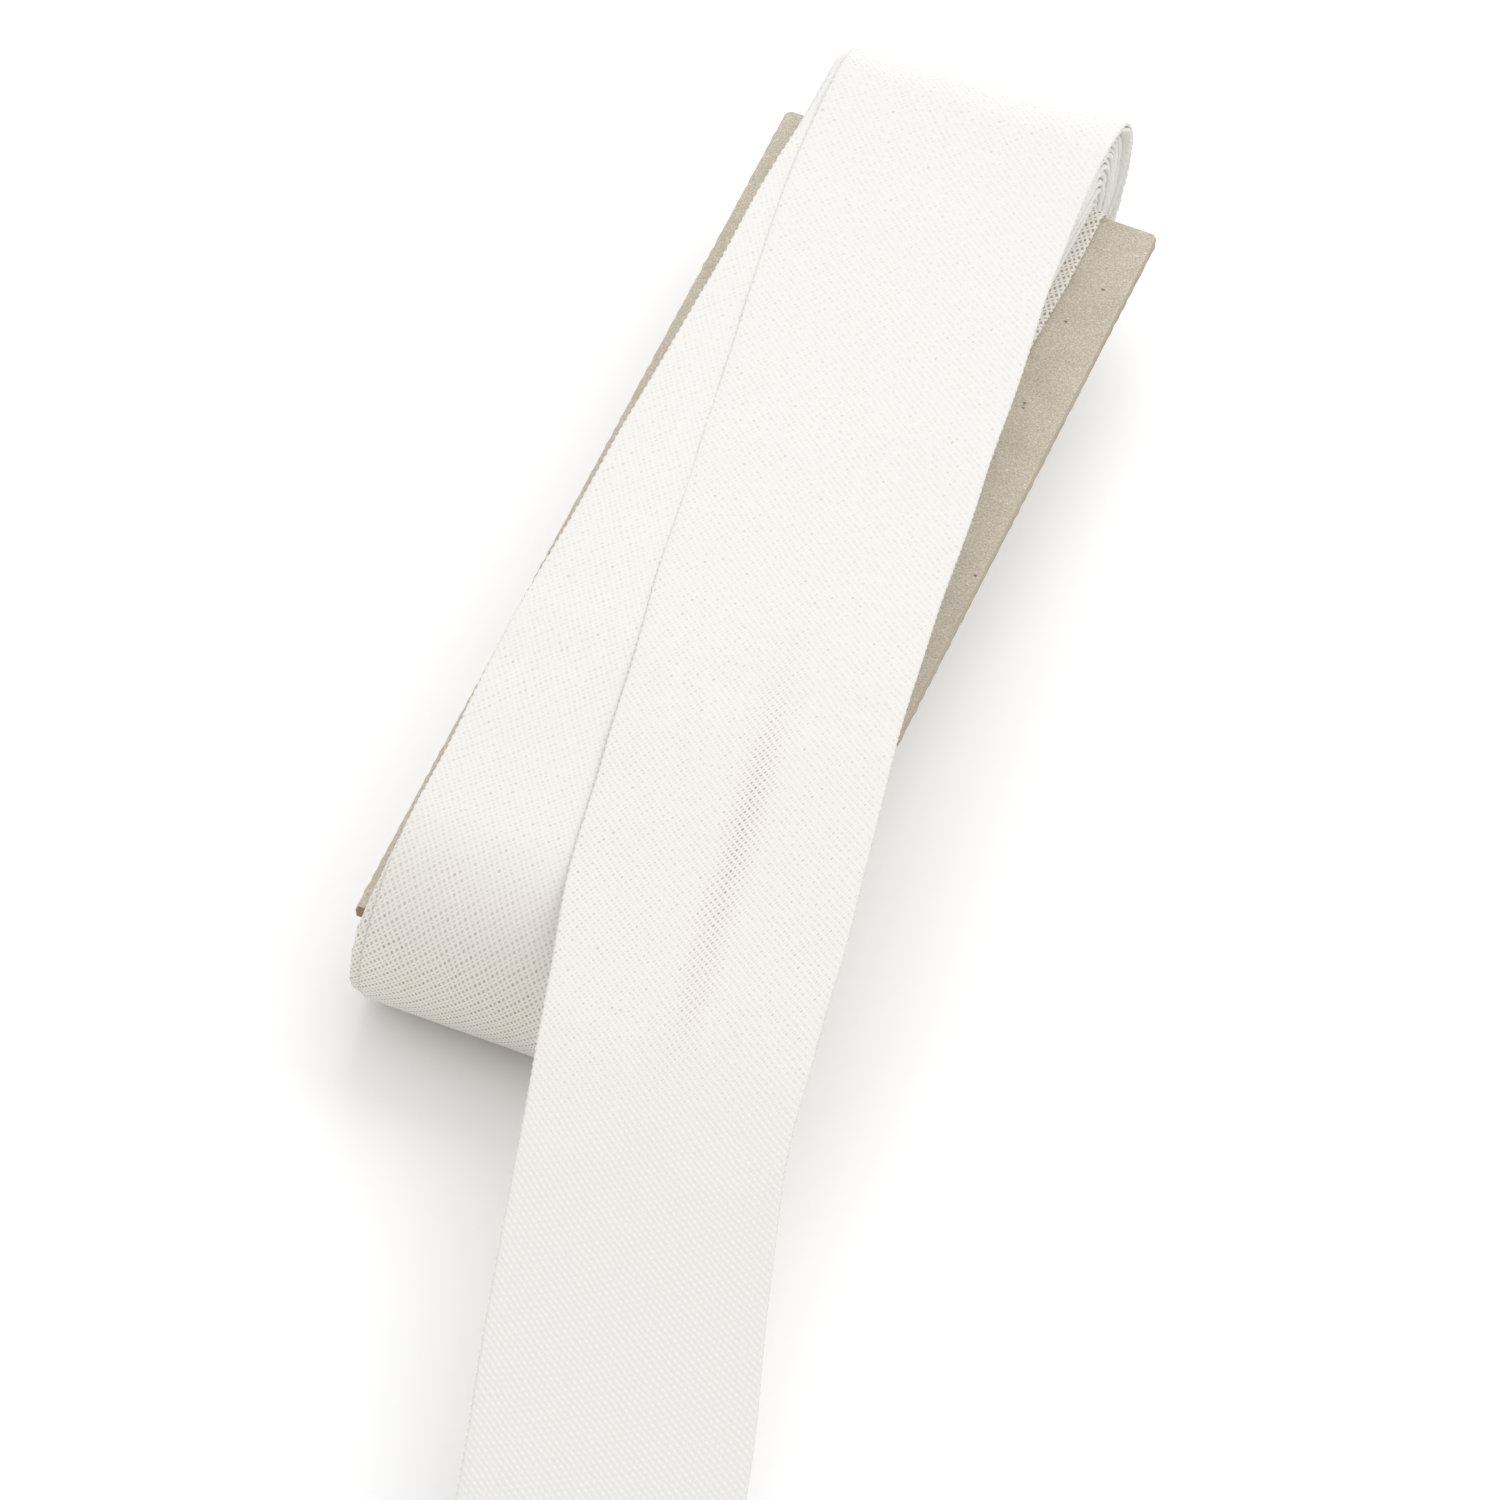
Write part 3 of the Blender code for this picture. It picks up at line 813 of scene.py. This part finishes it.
def cotton_material(tape):
    """Loose plain weave, laid on the bias. The weave map counts the threads of both families, and
    each cell between four threads is more or less open by a number drawn for that cell.

    The tone runs from 0, the painted shade low between the threads, to 1, the colour of their tops. It is
    the largest of the tones of both families and of the cell."""
    material, start, shader = new_material("cotton")
    weave = start.node("ShaderNodeUVMap", {"uv_map": "weave"})
    cloth = start.node("ShaderNodeUVMap", {"uv_map": "cloth"})
    opened, ridged_and_shaded, open_unbanded = (attribute(start, name) for name in ("open", "ridged_and_shaded", "open_unbanded"))
    place = cloth.node("ShaderNodeVectorMath", {"operation": "SCALE"}, {0: cloth, "Scale": 1 / MM})

    # The threads wander by almost one spacing over a few millimetres, and lean together in pairs
    wander = noise(place, 0.40, output=1)
    bent = wander.node("ShaderNodeVectorMath", {"operation": "MULTIPLY_ADD"},
                       {0: wander, 1: (0.9, 0.9, 0.0), 2: weave})
    wide = bent.node("ShaderNodeSeparateXYZ", None, {0: bent})
    close = wide.output(1)
    close = close + close.math("COSINE", close * math.pi) * tape.pairing

    def drawn(first, second, seed):
        """A number from 0 to 1 for each pair of whole numbers."""
        spot = first.node("ShaderNodeCombineXYZ", None, {0: first, 1: second, 2: seed})
        return spot.node("ShaderNodeTexWhiteNoise", {"noise_dimensions": "3D"}, {"Vector": spot})

    def family(kind, phase, other, sign):
        """One family of threads: its cover, its height and its tone.

        The place across a thread is its phase less its whole number. A round thread's height is one
        less the square of that place, and it goes over and under the other family by a cosine. Its
        width varies along it by noise at its own number."""
        index = phase.math("ROUND", phase)
        spot = index.node("ShaderNodeCombineXYZ", None,
                          {0: index * THREAD_APART, 1: other * THREAD_RUN, 2: kind["seed"]})
        width = (kind["width"] + noise(spot, 1.0) * kind["uneven"]
                 + opened * kind["open_width"] + ridged_and_shaded * kind["ridged_width"])
        aside = phase.math("ABSOLUTE", phase - index) * 2 / width
        dome = larger(1 - aside * aside, 0.0)
        over = phase.math("COSINE", (other + index) * math.pi) * sign
        cover = 1 - between(aside, 0.75, 1.15)
        # Painted highlight and shade: the tone is lighter on a thread's round top and where it lies over
        # the other family, and lower where it goes under
        tone = (kind["tone"] + dome * kind["dome"] + over * (kind["over"] + ridged_and_shaded * kind["ridged_over"])
                + opened * kind["open_tone"] + open_unbanded * kind["winding_tone"] + ridged_and_shaded * kind["ridged_and_shaded_tone"])
        return cover, cover * (dome * ROUND_SHARE + over * (1 - ROUND_SHARE)), cover * tone

    wide_cover, wide_height, wide_tone = family(WIDE_THREADS, wide, close, 1.0)
    close_cover, close_height, close_tone = family(CLOSE_THREADS, close, wide, -1.0)

    # Fuzz makes some of the cells paler, and a rare one is darker, showing more painted shade
    cell_wide, cell_close = wide.math("FLOOR", wide), close.math("FLOOR", close)
    luck = drawn(cell_wide, cell_close, 0.5)
    fuzz = between(noise(place, 7.0, detail=3.0, roughness=0.7), 0.45, 0.75)
    rare = between(luck, 0.965, 1.0)
    cell = (CELLS["tone"] + luck * CELLS["luck"] + opened * CELLS["open"] + fuzz * CELLS["fuzz"]
            + rare * CELLS["rare"])
    cell = larger(cell, CELLS["least"])
    # Between ridges the cells take a darker tone: painted shade on the hovering loose end
    cell = cell + ridged_and_shaded * (CELLS["ridged_and_shaded"] + luck * CELLS["ridged_luck"] - cell)
    tone = larger(cell, larger(wide_tone, close_tone))
    clear = between(opened + luck * 0.5, 1.05, 1.35) * (1 - larger(wide_cover, close_cover))

    # The tops are a little cloudy. What lies low is painted shade: it differs a little from cell to cell,
    # goes deeper where the weave is open, and turns grey on the hovering loose end
    top = colour_mix(noise(place, 0.10, detail=3.0), tape.cotton, scaled(tape.cotton, 0.97))
    top = colour_mix(open_unbanded, top, scaled(tape.cotton, WORN_COTTON))
    low = colour_mix(drawn(cell_close, cell_wide, 3.5), tape.hollow_shade, scaled(tape.hollow_shade, 1.12))
    low = colour_mix(opened * DEEP_SHADE_OPEN + open_unbanded * DEEP_SHADE_UNBANDED, low, tape.deep_shade)
    low = colour_mix(ridged_and_shaded, low, tape.tail_shade)
    height = larger(wide_height, close_height)
    bump = height.node("ShaderNodeBump", None,
                       {"Strength": 0.30, "Distance": 0.06 * MM, "Height": height})
    feed(shader, Base_Color=colour_mix(tone, low, top), Alpha=1 - clear * CELLS["clear"], Normal=bump,
         Roughness=0.93, Sheen_Weight=0.10, Sheen_Roughness=0.6, Specular_IOR_Level=0.15)
    return material


def shared_cotton(tape):
    """The cotton, made once."""
    return bpy.data.materials.get("cotton") or cotton_material(tape)


def chipboard_material(card):
    """Grey recycled board: fine mottle, pale and dark fibres, brown flecks, and browner cut sides
    with lines between the plies."""
    material, start, shader = new_material("chipboard")
    spot = start.node("ShaderNodeTexCoord", output=3)

    # Faces: a mottle finer than a millimetre, and broad darker clouds
    mottle = noise(spot, 5600.0, detail=5.0, roughness=0.85)
    cloud = noise(spot, 260.0)
    base = colour_mix(between(mottle, 0.34, 0.66), scaled(card.board, 0.70), scaled(card.board, 1.26))
    base = colour_mix(between(cloud, 0.35, 0.70) * 0.12, base, card.dark)

    def fibres(scale, seed, thin):
        """Thin winding lines, where a noise field crosses its middle value."""
        moved = spot.node("ShaderNodeVectorMath", {"operation": "ADD"}, {0: spot, 1: (seed, 0.0, 0.0)})
        field = noise(moved, scale, detail=1.0)
        broken = noise(moved, scale * 2.3, detail=0.0)
        return (1 - between(field.math("ABSOLUTE", field - 0.5), 0.0, thin)) * between(broken, 0.50, 0.60)

    base = colour_mix(fibres(1500.0, 0.3, thin=0.020) * 0.60, base, card.pale)
    base = colour_mix(fibres(1700.0, 0.7, thin=0.018) * 0.55, base, card.dark)

    # Flecks: a dot at the middle of one cell in four
    nearest = spot.node("ShaderNodeTexVoronoi", {"feature": "F1"}, {"Vector": spot, "Scale": 640.0})
    number = nearest.node("ShaderNodeSeparateColor", None, {0: nearest.output(1)})
    fleck = (1 - between(nearest, 0.05, 0.16)) * between(number, 0.76, 0.78)
    base = colour_mix(fleck * 0.8, base, card.fleck)

    # Cut sides: browner, with a dark wavering line between the plies
    side, depth, browned = (attribute(start, name) for name in ("cut_side", "depth", "browned"))
    wander = noise(spot, 300.0, detail=3.0) - 0.5
    ply = 1 - between(depth.math("ABSOLUTE", depth + wander * 0.35 - 0.1), 0.03, 0.14)
    cut = colour_mix(browned * 0.85, colour_mix(mottle, card.side, base), card.brown)
    cut = colour_mix(ply * 0.55, cut, card.dark)
    colour = colour_mix(side, base, cut)
    height = mottle * 0.6 + fibres(1500.0, 0.3, thin=0.03) * 0.4 - ply * side * 1.5
    bump = height.node("ShaderNodeBump", None,
                       {"Strength": 0.6, "Distance": 0.06 * MM, "Height": height})
    feed(shader, Base_Color=colour, Normal=bump, Roughness=0.9, Specular_IOR_Level=0.2)
    return material


def joined_places(first, second):
    """Two lists of places that share one end, as one list."""
    return np.concatenate((first, second[1:]))


def quarter_steps(start, stop, steps):
    """Places along the winding in turns, with a number of steps on each of its four quarters:
    underneath, far bend, top and near bend."""
    quarters = np.arange(math.floor(start * 4), math.ceil(stop * 4) + 1)
    places = [q + np.linspace(0, 1, steps[q % 4] + 1)[:-1] for q in quarters]
    places = np.concatenate(places) / 4
    inside = places[(places > start + HAIR) & (places < stop - HAIR)]
    return np.concatenate(([start], inside, [stop]))


def finish_piece(item, node):
    """Let a piece ride on the body and stand for its solid."""
    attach(item, BODY)
    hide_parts(node)


def strip_piece(name, tape, rows, spans, node):
    """A stretch of the tape as one piece: a sheet given the cloth's thickness, which stands for its
    solid."""
    points, maps, values = strip_points(tape, rows, spans)
    item = grid_object(name, points, shared_cotton(tape), maps, values)
    give_thickness(item, tape.cloth)
    finish_piece(item, node)
    flat_length = float(rows["along"][-1] - rows["along"][0])


def card_section():
    """Places round the card's section, from -1 to 1 in X and in Z: bottom, right side, top and left
    side. The columns of a face lie closer near its edges."""
    edge = np.array(EDGE_COLUMNS)
    face = np.concatenate((-edge[::-1], np.linspace(-FACE_REACH, FACE_REACH, FACE_COLUMNS), edge))
    side = np.linspace(-1.0, 1.0, SIDE_COLUMNS + 2)[1:-1]
    across = np.concatenate((face, np.ones(len(side)), face[::-1], -np.ones(len(side))))
    up = np.concatenate((-np.ones(len(face)), side, np.ones(len(face)), -side))
    return across, up


def card_rows(card, half_length):
    """Places along the card. They lie closer round the corners, and two rows lie at each end, where
    the section is pressed flat."""
    steps = 1 - np.cos(np.linspace(0, math.pi / 2, CORNER_ROWS))
    near = -half_length + np.concatenate(([0.0, 0.0], card.near_corner * steps + END_RIM))
    far = half_length - np.concatenate(([0.0, 0.0], card.corner * steps + END_RIM))
    return np.concatenate((near, np.linspace(near[-1], far[-1], CARD_ROWS)[1:-1], far[::-1]))


def closed(values):
    """A grid with its first column again at its end."""
    return np.concatenate((values, values[:, :1]), axis=1)


def card_object(card, material):
    """Card as a flat tube along Y: its section is a rectangle with a small round rim, carried along
    the card, narrower round the corners, and closed at both ends by pressing the section flat.

    It holds which points are on a cut side, their depth between the faces, and how browned they are."""
    half_x, half_y, half_z = (CARD_HIGH - CARD_LOW) / 2
    across, up = card_section()
    y = card_rows(card, half_y)
    corner = np.where(y < 0, card.near_corner, card.corner)
    inward = np.clip(np.abs(y) - (half_y - corner), 0, corner)
    narrower = corner - np.sqrt(np.maximum(corner**2 - inward**2, 0))
    at_end = (np.abs(y) > half_y - END_RIM / 2)[:, None]
    height = np.where(at_end, END_HEIGHT, 1.0)
    height[[0, -1]] = 0.0
    on_side = np.abs(across) == 1
    rim = card.rim * (on_side & (np.abs(up) == 1))
    rough = unevenness(ROUGH_BOARD, y[:, None], up * BOARD_SPACING)
    x = across * (half_x - narrower)[:, None] + np.where(on_side, np.sign(across) * (rough - rim), 0.0)
    z = up * half_z * height + ROLL_MIDDLE
    points = closed(np.stack((x, np.broadcast_to(y[:, None], x.shape), z), axis=-1))
    sides = closed(np.broadcast_to(on_side | at_end, x.shape))
    depth = closed(np.broadcast_to(up, x.shape))
    on_right = (points[:, :, 0] > half_x - card.rim - card.corner) & sides
    browned = np.maximum(BROWNED_RIGHT * on_right, at_end)
    return grid_object("card", points, material,
                       values={"cut_side": sides, "depth": depth, "browned": browned})


class TAPE_OT_card(bpy.types.Operator):
    """Make the chipboard card that the tape is wound on"""

    bl_idname = "tape.card"
    bl_label = "Chipboard card"

    def execute(self, context):
        card = context.scene.tape_card
        item = card_object(card, chipboard_material(card))
        finish_piece(item, "core_card")
        return {"FINISHED"}


class TAPE_OT_wound_tape(bpy.types.Operator):
    """Make the turns of tape that are wound round the card"""

    bl_idname = "tape.wound_tape"
    bl_label = "Wound tape"

    def execute(self, context):
        tape = context.scene.bias_tape
        split = tape.turns - OUTER_TURN_START
        inner = joined_places(quarter_steps(WINDING_START, FIRST_TOP_END, FIRST_ROWS),
                              quarter_steps(FIRST_TOP_END, split, INNER_ROWS))
        strip_piece("wound_turns", tape, wound_rows(tape, inner), INNER_SPANS, "wound_tape")
        outer = quarter_steps(split, tape.turns - LOOSE_START, OUTER_ROWS)
        strip_piece("outer_turn", tape, wound_rows(tape, outer), OUTER_SPANS, "wound_tape")
        return {"FINISHED"}


class TAPE_OT_loose_end(bpy.types.Operator):
    """Make the loose end that comes over the far bend and lies out past the roll"""

    bl_idname = "tape.loose_end"
    bl_label = "Loose end"

    def execute(self, context):
        tape = context.scene.bias_tape
        start, top = tape.turns - LOOSE_START, tape.turns - LOOSE_TOP
        bend = wound_rows(tape, quarter_steps(start, top - HAIR, LAST_BEND_ROWS))
        for key in WEAVE_KEYS:
            bend[key] = np.full_like(bend["along"], LOOSE_WEAVE[0][key])
        run = loose_rows(tape, np.arange(LOOSE_STEP, LOOSE_LENGTH, LOOSE_STEP), bend)
        strip_piece("loose_strip", tape, joined_rows(bend, run), LOOSE_SPANS, "loose_end")
        return {"FINISHED"}


class TAPE_OT_stage(bpy.types.Operator):
    """Make the floor, the light and the camera"""

    bl_idname = "tape.stage"
    bl_label = "Floor, light and camera"

    def execute(self, context):
        stage = context.scene.tape_stage
        make_floor(stage)
        make_light(context.scene, stage)
        make_camera(context.scene)
        context.scene.view_settings.view_transform = "Standard"
        return {"FINISHED"}


def make_floor(stage):
    """A plain pale floor, with a faint grain."""
    material, start, shader = new_material("floor")
    grain = noise(start.node("ShaderNodeTexCoord", output=3), 40.0)
    feed(shader, Base_Color=colour_mix(grain, scaled(stage.floor, 0.985), stage.floor), Roughness=0.8,
         Specular_IOR_Level=0.1)
    side = np.linspace(-FLOOR_REACH, FLOOR_REACH, 5)
    x, y = np.meshgrid(side, -side)
    points = np.stack((x, y, np.full_like(x, -FLOOR_DEPTH)), axis=-1)
    floor = grid_object("floor", points, material)


def make_light(scene, stage):
    """Even light from all sides, and a large soft lamp behind and above the roll."""
    world = bpy.data.worlds.new("studio")
    world.use_nodes = True
    background = world.node_tree.nodes["Background"]
    background.inputs["Color"].default_value = (1.0, 1.0, 1.0, 1.0)
    background.inputs["Strength"].default_value = stage.sky
    scene.world = world
    data = bpy.data.lights.new("softbox", "AREA")
    data.shape = "RECTANGLE"
    data.size, data.size_y = LAMP_SIDES
    data.energy = stage.lamp
    lamp = bpy.data.objects.new("softbox", data)
    lamp.location = LAMP_PLACE
    lamp.rotation_euler = (-Vector(lamp.location)).to_track_quat("-Z", "Y").to_euler()
    scene.collection.objects.link(lamp)


def make_camera(scene):
    """Camera on the line through its target that looks down by one angle and aside by another,
    turned about that line by its roll."""
    right = Vector((math.cos(CAMERA_ASIDE), math.sin(CAMERA_ASIDE), 0.0))
    ahead = Vector((-math.sin(CAMERA_ASIDE), math.cos(CAMERA_ASIDE), 0.0))
    rise = Vector((0.0, 0.0, 1.0))
    view = ahead * math.cos(CAMERA_DOWN) - rise * math.sin(CAMERA_DOWN)
    up = ahead * math.sin(CAMERA_DOWN) + rise * math.cos(CAMERA_DOWN)
    cos, sin = math.cos(CAMERA_ROLL), math.sin(CAMERA_ROLL)
    right, up = right * cos + up * sin, up * cos - right * sin
    data = bpy.data.cameras.new("camera")
    data.sensor_width = SENSOR
    data.lens = FOCAL_PIXELS / FRAME_PIXELS * SENSOR
    data.clip_start = 0.05
    data.clip_end = 20.0
    camera = bpy.data.objects.new("camera", data)
    turned = Matrix((right, up, -view)).transposed().to_4x4()
    camera.matrix_world = Matrix.Translation(Vector(CAMERA_TARGET) - view * CAMERA_DISTANCE) @ turned
    scene.collection.objects.link(camera)
    scene.camera = camera


class TAPE_PT_panel(bpy.types.Panel):
    """Sizes, colours and the steps that build the roll"""

    bl_label = "Bias Tape"
    bl_idname = "TAPE_PT_panel"
    bl_space_type = "VIEW_3D"
    bl_region_type = "UI"
    bl_category = "Bias Tape"

    def draw(self, context):
        scene = context.scene
        for group in (scene.bias_tape, scene.tape_card, scene.tape_stage):
            box = self.layout.box()
            for name in group.__annotations__:
                box.prop(group, name)
        for step in STEPS:
            self.layout.operator(step.bl_idname)


STEPS = (TAPE_OT_card, TAPE_OT_wound_tape, TAPE_OT_loose_end, TAPE_OT_stage)
CLASSES = (TapeSettings, CardSettings, StageSettings, *STEPS, TAPE_PT_panel)


def register():
    for item in CLASSES:
        bpy.utils.register_class(item)
    bpy.types.Scene.bias_tape = PointerProperty(type=TapeSettings)
    bpy.types.Scene.tape_card = PointerProperty(type=CardSettings)
    bpy.types.Scene.tape_stage = PointerProperty(type=StageSettings)


def unregister():
    del bpy.types.Scene.tape_stage
    del bpy.types.Scene.tape_card
    del bpy.types.Scene.bias_tape
    for item in reversed(CLASSES):
        bpy.utils.unregister_class(item)


def main():
    register()
    bpy.ops.tape.card()
    bpy.ops.tape.wound_tape()
    bpy.ops.tape.loose_end()
    bpy.ops.tape.stage()


if __name__ == "__main__":
    main()
